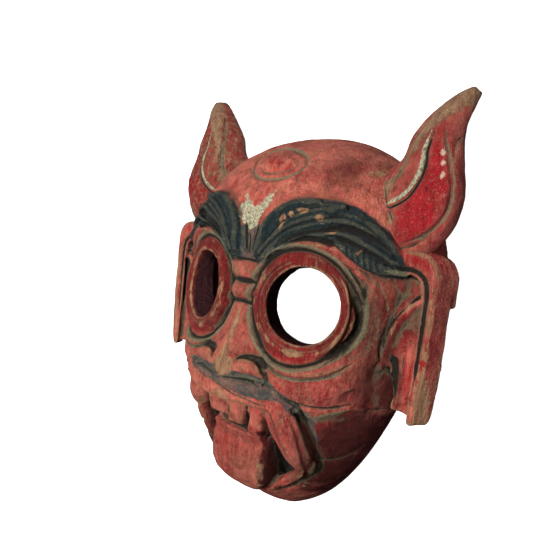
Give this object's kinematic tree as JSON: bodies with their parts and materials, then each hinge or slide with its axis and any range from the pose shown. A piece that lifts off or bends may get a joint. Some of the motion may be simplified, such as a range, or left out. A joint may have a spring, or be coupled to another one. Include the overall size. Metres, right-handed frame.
{
  "type": "tibetan cham mask",
  "caption": "Hollow carved wooden mask of a horned demon face with ring eyes, flame brows, long ears, bared teeth and a hanging tongue, in worn red paint.",
  "frame": {"origin": "centre of the mask's length and width, in the plane of its back rim, on which it lies", "axes": "+X to the viewer's right across the face, +Y from the chin to the crown and the horn tips, +Z out of the face"},
  "size_m": [0.28, 0.3444, 0.1093],
  "materials": {
    "painted_face": "carved wood under thin worn red paint, with blackened green brows, a grey-blue lip line and bare tan wood on the high spots",
    "painted_horn": "carved wood under worn brighter red paint, bare and tan at the tip, with cream and olive lines in the grooves"
  },
  "bodies": {
    "root": {"mask_body": "painted_face", "left_horn": "painted_horn", "right_horn": "painted_horn"}
  },
  "joints": []
}
